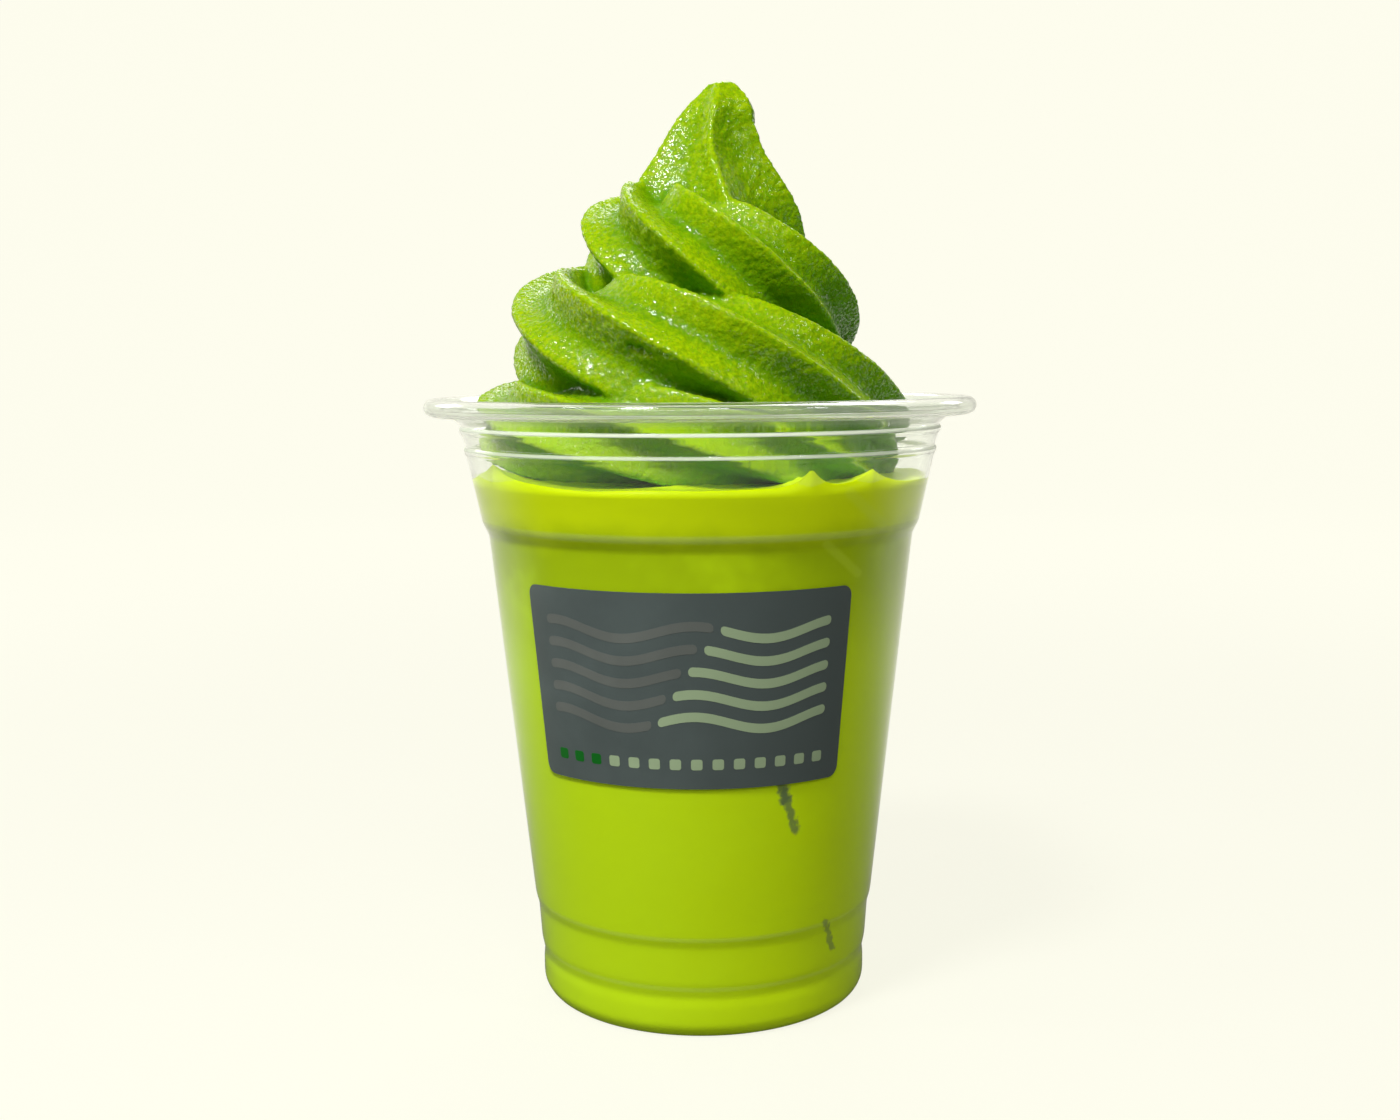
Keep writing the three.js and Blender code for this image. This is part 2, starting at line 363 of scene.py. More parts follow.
class Effects:
    """The node groups that more than one finish or streak uses."""

    fine_share = 0.55
    coarse_share = 0.75
    streak_core = 0.35
    streak_front = (0.0, -5.0)

    def __init__(self) -> None:
        """Builds the groups."""
        self.grain = self._build_grain()
        self.mottle = self._build_mottle()
        self.streak = self._build_streak()

    def _build_streak(self) -> bpy.types.NodeTree:
        """Straight streak on the front of the float, seen along +Y, with frayed edges.

        Returns:
            A group with the inputs StartX, StartZ, EndX, EndZ, Half and Fray, in metres, and Lumps,
            a noise from 0 to 1, and the output Mask.
        """
        inputs = {"StartX": 0.0, "StartZ": 0.0, "EndX": 0.0, "EndZ": 0.01, "Half": 0.001, "Fray": 0.0}
        canvas, values, mask = new_group("Streak", inputs | {"Lumps": 0.5}, "Mask")
        start, end = (
            canvas.feed(canvas.add("CombineXYZ"), X=values[side + "X"], Z=values[side + "Z"]).outputs[0]
            for side in ("Start", "End")
        )
        flat = canvas.vector("MULTIPLY", canvas.coords["Object"], (1.0, 0.0, 1.0))
        away = canvas.vector("SUBTRACT", flat, start)
        ahead = canvas.vector("NORMALIZE", canvas.vector("SUBTRACT", end, start))
        along = canvas.vector("DOT_PRODUCT", away, ahead, output=1)
        reach = canvas.vector("DISTANCE", end, start, output=1)
        held = canvas.maths("MAXIMUM", canvas.maths("MINIMUM", along, reach), 0.0)
        gap = canvas.vector("DISTANCE", away, canvas.vector("MULTIPLY", ahead, held), output=1)
        lumps = canvas.maths("SUBTRACT", values["Lumps"], 0.5)
        frayed = canvas.maths("ADD", gap, canvas.maths("MULTIPLY", lumps, values["Fray"]))
        inner = canvas.maths("MULTIPLY", values["Half"], self.streak_core)
        front = canvas.span(canvas.axes[1], self.streak_front)
        canvas.join(canvas.maths("MULTIPLY", canvas.ease(frayed, values["Half"], inner), front), mask)
        return canvas.tree

    def _build_grain(self) -> bpy.types.NodeTree:
        """Fine grain: a height from two sizes of noise.

        Returns:
            A group with the inputs Fine and Coarse, in lumps per metre, and the output Height.
        """
        canvas, values, height = new_group("Grain", {"Fine": 1500.0, "Coarse": 500.0}, "Height")
        fine = canvas.maths("MULTIPLY", canvas.noise(values["Fine"], 2.0), self.fine_share)
        coarse = canvas.maths("MULTIPLY", canvas.noise(values["Coarse"], 2.0), self.coarse_share)
        canvas.join(canvas.maths("ADD", fine, coarse), height)
        return canvas.tree

    @staticmethod
    def _build_mottle() -> bpy.types.NodeTree:
        """Slow mottling between two tones.

        Returns:
            A group with the inputs Lumps, per metre, Low and High, and the output Mask.
        """
        inputs = {"Lumps": 120.0, "Low": 0.35, "High": 0.65}
        canvas, values, mask = new_group("Mottle", inputs, "Mask")
        lumps = canvas.noise(values["Lumps"], 4.0)
        canvas.join(canvas.ease(lumps, values["Low"], values["High"]), mask)
        return canvas.tree


class Finish(ABC):
    """Tones and measures of a material."""

    @abstractmethod
    def build(self, effects: Effects) -> Material:
        """Builds the material.

        Args:
            effects: The shared node groups.

        Returns:
            The material.
        """


def new_material(name: str) -> tuple[Material, Canvas, bpy.types.Node, bpy.types.Node]:
    """Starts a material.

    Args:
        name: The material's name.

    Returns:
        The material, its canvas, its Principled shader and its output node.
    """
    material = bpy.data.materials.new(name)
    material.use_nodes = True
    canvas = Canvas(material.node_tree)
    shader = canvas.add("BsdfPrincipled")
    outlet = canvas.add("OutputMaterial")
    canvas.join(shader.outputs[0], outlet.inputs["Surface"])
    return material, canvas, shader, outlet


@dataclass(frozen=True)
class CreamFinish(Finish):
    """Wet, grainy soft serve with small glints of melt, painted shade in its hollows and on the side
    facing away from the light, and painted light low on the coil.

    The spans are heights in millimetres, or how far the skin faces the light side.
    """

    face: Colour = (0.355, 0.530, 0.0, 1.0)
    shade: Colour = (0.225, 0.410, 0.0, 1.0)
    # Painted light: the coil is lighter low down, between the heights of its span.
    painted_low_light: Colour = (0.400, 0.640, 0.0, 1.0)
    low_light_span: tuple[float, float] = (110.0, 100.0)
    low_light_share: float = 0.8
    # Painted shade on the side of the skin facing away from the light side.
    turned_shade: Colour = (0.110, 0.330, 0.0, 1.0)
    turned_shade_span: tuple[float, float] = (0.55, -0.45)
    turned_shade_share: float = 0.9
    light_side: Place = (-0.45, -0.30, 0.84)
    # Painted shade in the hollows of the skin.
    hollow_shade: Colour = (0.070, 0.235, 0.0, 1.0)
    hollow_shade_share: float = 0.85
    hollow_shade_low_cut: float = 0.4
    grain_depth: float = 0.30
    bead_sizes: tuple[float, float] = (0.48, 1.05)
    glint_depth: float = 0.18
    roughness: float = 0.55
    refraction: float = 1.42
    scatter: float = 0.14
    scatter_depth: float = 2.0
    coat_roughness: float = 0.07
    coat_refraction: float = 1.58

    def build(self, effects: Effects) -> Material:
        """Builds the material, with painted shade in the hollows as the mesh marks them.

        Args:
            effects: The shared node groups.

        Returns:
            The material.
        """
        material, canvas, shader, _ = new_material("soft_serve_cream")
        # Painted light low on the coil, which also weakens the painted shade of the hollows there.
        low = canvas.span(canvas.axes[2], self.low_light_span)
        # Painted shade: darker where the skin's normal faces away from the light side.
        facing_light = canvas.vector("DOT_PRODUCT", canvas.coords["Normal"], self.light_side, output=1)
        away = canvas.ease(facing_light, *self.turned_shade_span)
        # Painted shade: the hollows that the mesh marks are darkened, less so low on the coil.
        hollow_shade_mask = canvas.add("Attribute", attribute_name=HOLLOW_SHADE).outputs["Fac"]
        painted_shade = canvas.maths(
            "SUBTRACT", self.hollow_shade_share, canvas.maths("MULTIPLY", low, self.hollow_shade_low_cut)
        )
        lit = canvas.blend(canvas.group(effects.mottle, Lumps=1300.0), self.shade, self.face)
        lit = canvas.blend(canvas.maths("MULTIPLY", low, self.low_light_share), lit, self.painted_low_light)
        lit = canvas.blend(canvas.maths("MULTIPLY", away, self.turned_shade_share), lit, self.turned_shade)
        colour = canvas.blend(canvas.maths("MULTIPLY", hollow_shade_mask, painted_shade), lit, self.hollow_shade)
        grain = canvas.group(effects.grain, Fine=1900.0, Coarse=750.0)
        glints = canvas.group(effects.mottle, Lumps=2300.0, Low=0.495, High=0.555)
        small, large = (canvas.clouds(size, 2.0) for size in self.bead_sizes)
        small = canvas.maths("MULTIPLY", small, effects.fine_share)
        large = canvas.maths("MULTIPLY", large, effects.coarse_share)
        wet = canvas.bump(canvas.maths("ADD", small, large), self.glint_depth)
        canvas.feed(
            shader, Base_Color=colour, Roughness=self.roughness, IOR=self.refraction,
            Normal=canvas.bump(grain, self.grain_depth), Specular_IOR_Level=0.05,
            Subsurface_Weight=self.scatter, Subsurface_Scale=self.scatter_depth * MM,
            Subsurface_Radius=(0.3, 1.0, 0.02), Coat_Weight=glints, Coat_Normal=wet,
            Coat_Roughness=self.coat_roughness, Coat_IOR=self.coat_refraction,
        )
        return material


@dataclass(frozen=True)
class Streak:
    """Streak in the drink, from one end to the other by x and z, with its half width and fray."""

    start: tuple[float, float]
    end: tuple[float, float]
    half: float
    fray: float
    strength: float
    tone: Colour

    def mask(self, canvas: Canvas, group: bpy.types.NodeTree, lumps: Socket) -> Socket:
        """Where the streak shows, by how much.

        Args:
            canvas: The drink's canvas.
            group: The streak node group.
            lumps: The noise that frays its edges.

        Returns:
            The mask.
        """
        sizes = {
            "StartX": self.start[0], "StartZ": self.start[1], "EndX": self.end[0], "EndZ": self.end[1],
            "Half": self.half, "Fray": self.fray,
        }
        metres = {name: size * MM for name, size in sizes.items()}
        return canvas.maths("MULTIPLY", canvas.group(group, Lumps=lumps, **metres), self.strength)


DARK_STREAK = (0.130, 0.190, 0.085, 1.0)
LIGHT_STREAK = (0.800, 1.000, 0.060, 1.0)


@dataclass(frozen=True)
class DrinkFinish(Finish):
    """Opaque green drink, paler on the left and darker on the right as painted light that falls off across
    it, with a band of painted shade under the cup's shoulder.

    The painted shade span and the foam span are heights above the level of the calm surface.
    """

    level: float
    # Painted light: the left is paler and the right darker, as the light falls off across the drink.
    pale: Colour = (0.690, 1.000, 0.010, 1.0)
    deep: Colour = (0.690, 0.930, 0.0, 1.0)
    light_falloff_span: tuple[float, float] = (-38.0, 40.0)
    wander: float = 0.18
    # Painted shade in a cloudy band under the cup's shoulder.
    painted_shade: Colour = (0.440, 0.610, 0.0, 1.0)
    painted_shade_span: tuple[float, float] = (-34.0, -11.0)
    painted_shade_clouds: float = 16.0
    painted_shade_share: float = 0.95
    foam: Colour = (0.810, 1.000, 0.0, 1.0)
    foam_span: tuple[float, float] = (-10.0, -3.0)
    foam_wander: float = 2.5
    fray_clouds: float = 1.1
    roughness: float = 0.35
    refraction: float = 1.34
    streaks: tuple[Streak, ...] = (
        Streak((11.6, 51.0), (13.6, 42.2), 1.30, 2.0, 0.80, DARK_STREAK),
        Streak((13.4, 43.4), (15.5, 36.4), 1.00, 2.0, 0.78, DARK_STREAK),
        Streak((20.8, 18.2), (22.4, 12.6), 0.70, 1.6, 0.60, DARK_STREAK),
        Streak((24.0, 93.0), (29.9, 87.3), 1.30, 0.4, 0.30, LIGHT_STREAK),
        Streak((20.2, 84.8), (25.7, 79.4), 1.10, 0.4, 0.26, LIGHT_STREAK),
    )

    def above(self, height: Socket, canvas: Canvas, ends: tuple[float, float]) -> Socket:
        """Mask over heights above the level."""
        return canvas.span(height, (self.level + ends[0], self.level + ends[1]))

    def build(self, effects: Effects) -> Material:
        """Builds the material, with the streaks over the drink's own tones.

        Args:
            effects: The shared node groups.

        Returns:
            The material.
        """
        material, canvas, shader, _ = new_material("green_drink")
        mottle = canvas.group(effects.mottle, Lumps=70.0, Low=0.3, High=0.7)
        # Painted light falling off from left to right.
        side = canvas.span(canvas.axes[0], self.light_falloff_span)
        side = canvas.maths("ADD", side, canvas.maths("MULTIPLY", mottle, self.wander))
        # Painted shade: a cloudy darker band under the cup's shoulder.
        clouds = canvas.ease(canvas.clouds(self.painted_shade_clouds), 0.1, 0.5)
        shade_band = canvas.maths("MULTIPLY", self.above(canvas.axes[2], canvas, self.painted_shade_span), clouds)
        swell = canvas.maths("MULTIPLY", mottle, self.foam_wander * MM)
        top = self.above(canvas.maths("ADD", canvas.axes[2], swell), canvas, self.foam_span)
        colour = canvas.blend(side, self.pale, self.deep)
        colour = canvas.blend(canvas.maths("MULTIPLY", shade_band, self.painted_shade_share), colour, self.painted_shade)
        colour = canvas.blend(top, colour, self.foam)
        lumps = canvas.clouds(self.fray_clouds)
        for streak in self.streaks:
            colour = canvas.blend(streak.mask(canvas, effects.streak, lumps), colour, streak.tone)
        grain = canvas.group(effects.grain, Fine=300.0, Coarse=110.0)
        canvas.feed(
            shader, Base_Color=colour, Roughness=self.roughness, IOR=self.refraction,
            Normal=canvas.bump(grain, 0.8, strength=0.12), Specular_IOR_Level=0.12,
        )
        return material


@dataclass(frozen=True)
class HighlightBand:
    """Band of painted highlight on the plastic, by its height, its half width and how white it is."""

    height: float
    half: float
    strength: float


@dataclass(frozen=True)
class PlasticFinish(Finish):
    """Thin clear plastic that lets light through to what it holds, with a faint even haze and painted
    highlights as whitish bands at the lip, the rings, the shoulder and the low steps.
    """

    tint: Colour = (0.975, 0.990, 0.960, 1.0)
    haze_and_highlight_tone: Colour = (0.93, 0.96, 0.84, 1.0)
    roughness: float = 0.03
    refraction: float = 1.46
    specular: float = 0.32
    haze_and_highlights: float = 0.004
    highlight_core: float = 0.3
    # Painted highlights at the lip, the two rings, the shoulder and the two low steps.
    highlight_bands: tuple[HighlightBand, ...] = (
        HighlightBand(105.8, 2.0, 0.10),
        HighlightBand(102.75, 0.36, 0.75),
        HighlightBand(99.15, 0.36, 0.50),
        HighlightBand(86.2, 0.9, 0.10),
        HighlightBand(18.0, 0.6, 0.05),
        HighlightBand(9.0, 0.6, 0.05),
    )

    def build(self, effects: Effects) -> Material:
        """Builds the material, which is see-through to shadow rays and to diffuse rays.

        Args:
            effects: The shared node groups.

        Returns:
            The material.
        """
        material, canvas, shader, outlet = new_material("clear_plastic")
        mottle = canvas.group(effects.mottle, Lumps=45.0, Low=0.2, High=0.8)
        canvas.feed(
            shader, Base_Color=self.tint, Roughness=self.roughness, IOR=self.refraction,
            Transmission_Weight=1.0, Normal=canvas.bump(mottle, 0.4, strength=0.08),
            Specular_IOR_Level=self.specular,
        )
        clear = canvas.feed(canvas.add("BsdfTransparent"), Color=self.tint)
        path = canvas.add("LightPath").outputs
        through = canvas.maths("MAXIMUM", path["Is Shadow Ray"], path["Is Diffuse Ray"])
        haze_and_highlights = self.haze_and_highlights
        # Painted highlights: whitish bands added over the faint even haze.
        for band in self.highlight_bands:
            away = canvas.maths("SUBTRACT", canvas.axes[2], band.height * MM)
            ends = (band.half, self.highlight_core * band.half)
            inside = canvas.span(canvas.maths("ABSOLUTE", away), ends)
            haze_and_highlights = canvas.maths("ADD", canvas.maths("MULTIPLY", inside, band.strength), haze_and_highlights)
        haze_and_highlight_tone = canvas.feed(canvas.add("BsdfDiffuse"), Color=self.haze_and_highlight_tone)
        plastic_with_highlights = canvas.mix(haze_and_highlights, canvas.mix(through, shader, clear), haze_and_highlight_tone)
        canvas.join(plastic_with_highlights.outputs[0], outlet.inputs["Surface"])
        return material


class InkTone(Enum):
    """Inks of the printed panel."""

    SLATE = (0.098, 0.125, 0.120, 1.0)
    SAGE = (0.400, 0.520, 0.310, 1.0)
    PEWTER = (0.150, 0.165, 0.150, 1.0)
    LEAF = (0.004, 0.170, 0.012, 1.0)

    def scaled(self, factor: float) -> Colour:
        """The tone made lighter or darker."""
        return (*(min(1.0, factor * part) for part in self.value[:3]), 1.0)


@dataclass(frozen=True)
class InkFinish(Finish):
    """Printed ink on plastic, with painted shade that darkens it towards the right."""

    tone: InkTone
    paler: float = 1.3
    # Painted shade towards the right of the panel.
    shaded_right: float = 0.88
    light_falloff_span: tuple[float, float] = (-26.0, 26.0)
    roughness: float = 0.33
    refraction: float = 1.45

    def build(self, effects: Effects) -> Material:
        """Builds the material of one tone.

        Args:
            effects: The shared node groups.

        Returns:
            The material.
        """
        material, canvas, shader, _ = new_material("ink_" + self.tone.name.lower())
        mottle = canvas.group(effects.mottle, Lumps=90.0, Low=0.25, High=0.8)
        # Painted shade: the ink darkens towards the right.
        across = canvas.span(canvas.axes[0], self.light_falloff_span)
        colour = canvas.blend(mottle, self.tone.value, self.tone.scaled(self.paler))
        colour = canvas.blend(across, colour, self.tone.scaled(self.shaded_right))
        grain = canvas.group(effects.grain, Fine=2500.0, Coarse=900.0)
        canvas.feed(
            shader, Base_Color=colour, Roughness=self.roughness, IOR=self.refraction,
            Normal=canvas.bump(grain, 0.05, strength=0.1),
        )
        return material


@dataclass(frozen=True)
class PaperFinish(Finish):
    """Plain pale paper of the studio floor, with a faint tooth.

    It glows for rays that see it, which keeps it even, and lights the float little.
    """

    colour: Colour = (1.0, 0.991, 0.863, 1.0)
    base: Colour = (0.12, 0.12, 0.108, 1.0)
    mirrored_base: Colour = (0.015, 0.015, 0.010, 1.0)
    lift: float = 0.865
    bounce: float = 0.11
    far_lift: float = 0.10
    far_span: tuple[float, float] = (150.0, 900.0)
    behind_span: tuple[float, float] = (-60.0, 200.0)

    def build(self, effects: Effects) -> Material:
        """Builds the material, whose glow depends on the kind of ray.

        Args:
            effects: The shared node groups.

        Returns:
            The material.
        """
        material, canvas, shader, _ = new_material("studio_paper")
        grain = canvas.group(effects.grain, Fine=900.0, Coarse=300.0)
        path = canvas.add("LightPath").outputs
        behind = canvas.span(canvas.axes[1], self.behind_span)
        mirrored = canvas.maths("MULTIPLY", path["Is Glossy Ray"], behind)
        direct = canvas.maths("MAXIMUM", path["Is Camera Ray"], path["Is Transmission Ray"])
        seen = canvas.maths("MAXIMUM", direct, mirrored)
        away = canvas.vector("LENGTH", canvas.coords["Object"], output=1)
        far = canvas.maths("MULTIPLY", canvas.span(away, self.far_span), self.far_lift)
        bright = canvas.maths("MULTIPLY", seen, canvas.maths("ADD", far, self.lift))
        bounced = canvas.maths("MULTIPLY", path["Is Diffuse Ray"], self.bounce)
        ground = canvas.blend(path["Is Glossy Ray"], self.base, self.mirrored_base)
        canvas.feed(
            shader, Base_Color=ground, Roughness=0.9, Normal=canvas.bump(grain, 0.1, strength=0.05),
            Emission_Color=self.colour, Emission_Strength=canvas.maths("ADD", bright, bounced),
            Specular_IOR_Level=0.1,
        )
        return material


# ---------------------------------------------------------------- cup
@dataclass
class Cup:
    """Clear thermoformed cup with a stepped wall, two pressed rings and a rolled lip."""

    rim_radius: float
    height: float
    foot_radius: float = 29.6
    foot_corner: float = 2.8
    foot_flare: float = 0.8
    floor_inset: float = 2.0
    wall: float = 0.55
    low_step_z: float = 7.2
    low_step: tuple[tuple[float, float], ...] = ((0.0, -1.7), (-0.2, 0.0), (0.35, 2.6))
    foot_step_z: float = 16.3
    foot_step_height: float = 1.8
    foot_step_out: float = 0.55
    shoulder_z: float = 84.0
    shoulder_height: float = 2.3
    shoulder_out: float = 0.85
    body_taper: float = 0.108
    mouth_out: float = 0.3
    mouth_taper: float = 0.2
    beads: tuple[float, ...] = (98.8, 102.4)
    bead_proud: float = 0.45
    bead_half: float = 0.75
    lip_half: float = 1.55
    lip_wall_z: float = 103.8
    segments: int = 224

    @property
    def body_radius(self) -> float:
        """Outer radius of the body just above the step at its foot."""
        return self.foot_radius + self.foot_flare + self.foot_step_out

    def body_at(self, height: float) -> float:
        """Outer radius of the plain body at a height."""
        return self.body_radius + self.body_taper * (height - self.foot_step_z - self.foot_step_height)

    def mouth_at(self, height: float) -> float:
        """Outer radius of the mouth at a height, without its rings."""
        start = self.body_at(self.shoulder_z) + self.shoulder_out + self.mouth_out
        return start + self.mouth_taper * (height - self.shoulder_z - self.shoulder_height)

    def outer_wall(self) -> Profile:
        """Outer face of the wall from the foot's corner up to the lip.

        Returns:
            Radius and height points.
        """
        wall = arc((self.foot_radius - self.foot_corner, self.foot_corner), self.foot_corner, -90, -5, 8)
        wall += [(self.foot_radius + out, self.low_step_z + up) for out, up in self.low_step]
        mouth_z = self.shoulder_z + self.shoulder_height
        wall += [
            (self.foot_radius + self.foot_flare, self.foot_step_z),
            (self.body_radius, self.foot_step_z + self.foot_step_height),
            (self.body_at(self.shoulder_z), self.shoulder_z),
            (self.mouth_at(mouth_z), mouth_z),
        ]
        for z in self.beads:
            wall += self.bead(z)
        wall.append((self.mouth_at(self.lip_wall_z) + self.mouth_out, self.lip_wall_z))
        return soften(resample(wall), 1)

    def bead(self, height: float) -> Profile:
        """Round outline of one pressed ring."""
        size = (self.bead_half ** 2 + self.bead_proud ** 2) / (2 * self.bead_proud)
        reach = math.degrees(math.asin(self.bead_half / size))
        centre = (self.mouth_at(height) + self.bead_proud - size, height)
        return arc(centre, size, -reach, reach, 8)

    def sheet(self) -> Profile:
        """Middle line of the plastic from the middle of the floor to the end of the rolled lip.

        Returns:
            Radius and height points.
        """
        half = self.wall / 2
        wall = [(radius - half, z) for radius, z in self.outer_wall()]
        floor = [(0.0, half), (self.foot_radius - self.foot_corner - self.floor_inset, half)]
        raised = [(radius, max(z, half)) for radius, z in wall]
        centre = (self.rim_radius - self.lip_half, self.height - self.lip_half)
        curl = arc(centre, self.lip_half - half, 150, -150, 20)
        line = [*resample([*floor, raised[0]]), *raised[1:-1], *resample([raised[-1], curl[0]]), *curl[1:]]
        return soften(line, 1)

    def solid_profile(self) -> Profile:
        """Closed outline of the sheet, out along its outer face and back along its inner face.

        Returns:
            Radius and height points.
        """
        line = np.array(self.sheet())
        along = np.gradient(line, axis=0)
        along /= np.linalg.norm(along, axis=1, keepdims=True)
        across = np.stack([along[:, 1], -along[:, 0]], axis=1) * self.wall / 2
        outer, inner = line + across, line - across
        outer[0, 0] = inner[0, 0] = 0.0
        return [tuple(p) for p in outer.tolist()] + [tuple(p) for p in inner[::-1].tolist()]

    def build(self, finish: Material) -> Piece:
        """Builds the cup.

        Args:
            finish: The clear plastic.

        Returns:
            The cup, riding on the root body.
        """
        cup = make_piece("cup_shell", *spin(self.solid_profile(), self.segments))
        merge_close(cup, 0.001)
        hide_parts("cup")
        return settle(cup, finish)


def merge_close(piece: Piece, distance: float) -> None:
    """Merges vertices that lie closer than a distance, and turns all faces outwards.

    Args:
        piece: The piece.
        distance: The distance in millimetres.
    """
    work = bmesh.new()
    work.from_mesh(piece.data)
    bmesh.ops.remove_doubles(work, verts=work.verts, dist=distance * MM)
    bmesh.ops.recalc_face_normals(work, faces=work.faces)
    work.to_mesh(piece.data)
    work.free()
    piece.data.shade_smooth()


def settle(piece: Piece, finish: Material) -> Piece:
    """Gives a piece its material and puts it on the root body.

    Args:
        piece: The piece.
        finish: Its material.

    Returns:
        The same piece.
    """
    piece.data.materials.append(finish)
    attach(piece, "root")
    return piece


# ---------------------------------------------------------------- soft serve
@dataclass(frozen=True)
class Pit:
    """Small hole in the soft serve, by its place, how wide it reaches and how deep it is."""

    place: Place
    reach: float
    depth: float


PITS = (
    Pit((-11.0, -32.7, 116.4), 0.7, 0.7),
    Pit((-9.4, -33.6, 115.9), 0.8, 0.9),
    Pit((-7.8, -34.0, 115.3), 0.6, 0.7),
    Pit((-24.3, -17.3, 124.7), 0.7, 0.9),
    Pit((10.4, -1.4, 158.6), 1.2, 1.3),
    Pit((10.7, -1.6, 156.6), 1.2, 1.5),
)


@dataclass(frozen=True)
class Lumps:
    """Low lumps in the skin, by height, how many lie in a millimetre, and where the noise is read."""

    height: float
    count: float
    shift: Place


@dataclass
class SoftServe:
    """Coil of soft serve from a star nozzle, drawn out to a peak."""

    crest_count: int = 6
    crest_depth: float = 0.29
    crest_round: float = 0.10
    crests_per_turn: float = 7.03
    crest_start: float = 41.0
    centre: tuple[float, float] = (0.5, -1.4)
    tilt: float = 0.2
    first_turn: float = -0.25
    last_turn: float = 2.75
    quarter: float = 0.25
    start_size: float = 0.55
    start_growth: float = 0.36
    core_margin: float = 2.0
    coil_radius: tuple[float, ...] = (6, 8, 10, 14.5, 18.5, 22, 24, 26, 29, 31, 28.5, 24, 21.5)
    coil_height: tuple[float, ...] = (
        136.5, 132, 129.5, 123, 120, 117, 114, 104, 102.5, 102, 101.5, 94, 84.5,
    )
    half_width: tuple[float, ...] = (15, 12.5, 10)
    half_height: tuple[float, ...] = (14, 14, 9)
    core: tuple[tuple[float, float], ...] = (
        (0.01, 84), (18, 84), (26, 90), (27, 104), (19, 113), (12, 124), (8, 134), (0.01, 134),
    )
    peak_foot_z: float = 133.0
    peak_tip_z: float = 163.2
    peak_crests: int = 5
    peak_depth: float = 0.27
    peak_ridge: float = 0.10
    peak_ridge_width: float = 0.24
    peak_front: float = 274.0
    peak_twist: float = 45.0
    peak_deeper: float = 0.80
    peak_cap: float = 0.022
    ridge_fade: tuple[float, float] = (0.95, 0.7)
    notch_depth: float = 0.22
    notch_direction: float = 6.0
    notch_spread: float = 0.4
    notch_height: float = 0.8
    notch_half: float = 0.09
    curl_place: Place = (7.8, 2.6, 157.0)
    curl_size: Place = (2.3, 2.5, 3.5)
    peak_radius: tuple[float, ...] = (17.8, 16.7, 14.8, 12.1, 9.4, 7.5, 6.0, 1.9)
    peak_offset: tuple[float, ...] = (0.3, 0.5, 1.2, 1.8, 2.1, 3.0, 4.3, 4.4)
    voxel: float = 0.46
    section_points: int = 180
    steps_per_turn: int = 170
    peak_rows: int = 90
    peak_columns: int = 200
    lumps: tuple[Lumps, ...] = (
        Lumps(0.12, 0.25, (0.0, 0.0, 0.0)),
        Lumps(0.13, 0.85, (40.0, 0.0, 0.0)),
        Lumps(0.11, 1.5, (0.0, 70.0, 0.0)),
    )

    def crest_share(self, place: np.ndarray, depth: float) -> np.ndarray:
        """Share of the half size at a place round a section, counted in crests."""
        wave = np.hypot(np.sin(np.pi * place), self.crest_round) - self.crest_round
        return 1 - depth * wave / (math.hypot(1, self.crest_round) - self.crest_round)

    def rope(self) -> Skin:
        """Skin of the rope as one closed tube.

        Returns:
            The vertices in millimetres and the faces.
        """
        rows = int((self.last_turn - self.first_turn) * self.steps_per_turn)
        turn = np.linspace(self.first_turn, self.last_turn, rows)[:, None]
        place = np.linspace(0, self.crest_count, self.section_points, endpoint=False)[None, :]
        station = (turn - self.first_turn) / self.quarter
        along = np.radians(180 + 360 * turn)
        step = 360 / self.crest_count
        round_ = np.radians(step * (place - self.crests_per_turn * turn) + self.crest_start)
        growth = smooth_step(turn, self.first_turn, self.first_turn + self.start_growth)
        size = self.crest_share(place, self.crest_depth) * (
            self.start_size + (1 - self.start_size) * growth
        )
        layers = np.arange(len(self.half_width))
        across = np.interp(turn, layers, self.half_width) * size * np.cos(round_)
        up = np.interp(turn, layers, self.half_height) * size * np.sin(round_)
        radius = np.maximum(smooth_stations(self.coil_radius, station) + across, self.core_margin)
        x = self.centre[0] + radius * np.cos(along)
        y = self.centre[1] + radius * np.sin(along)
        z = smooth_stations(self.coil_height, station) + up - self.tilt * across * np.cos(along)
        return closed_tube(stack(x, y, z), self.section_points)

    def peak(self) -> Skin:
        """Skin of the drawn-out peak.

        Returns:
            The vertices in millimetres and the faces.
        """
        height = np.linspace(0, 1, self.peak_rows)[:, None]
        angle = np.linspace(0, 2 * math.pi, self.peak_columns, endpoint=False)[None, :]
        station = height * (len(self.peak_radius) - 1)
        crest = np.radians(self.peak_front - self.peak_twist * (height - 0.5))
        place = self.peak_crests * (angle - crest) / (2 * math.pi)
        ridge = self.peak_ridge * np.exp(-(np.sin(np.pi * place) / self.peak_ridge_width) ** 2)
        share = self.crest_share(place, self.peak_depth) + ridge * smooth_step(height, *self.ridge_fade)
        aside = np.mod(angle - math.radians(self.notch_direction) + math.pi, 2 * math.pi) - math.pi
        across, up = aside / self.notch_spread, (height - self.notch_height) / self.notch_half
        notch = self.notch_depth * np.exp(-across ** 2 - up ** 2)
        cap = np.sqrt(np.clip((1 - height) / self.peak_cap, 0.0, 1.0))
        radius = (share - notch) * smooth_stations(self.peak_radius, station) * cap
        x = smooth_stations(self.peak_offset, station) + radius * np.cos(angle)
        y = radius * self.peak_deeper * np.sin(angle)
        z = self.peak_foot_z + (self.peak_tip_z - self.peak_foot_z) * height + 0 * angle
        return closed_tube(stack(x, y, z), self.peak_columns)

    def curl(self) -> Skin:
        """Skin of the small lobe that folds down behind the tip."""
        ball, _ = spin(arc((0.0, 0.0), 1.0, -89.9, 89.9, 24), 40)
        vertices, faces = closed_tube(ball, 40)
        return vertices * np.array(self.curl_size) + np.array(self.curl_place), faces

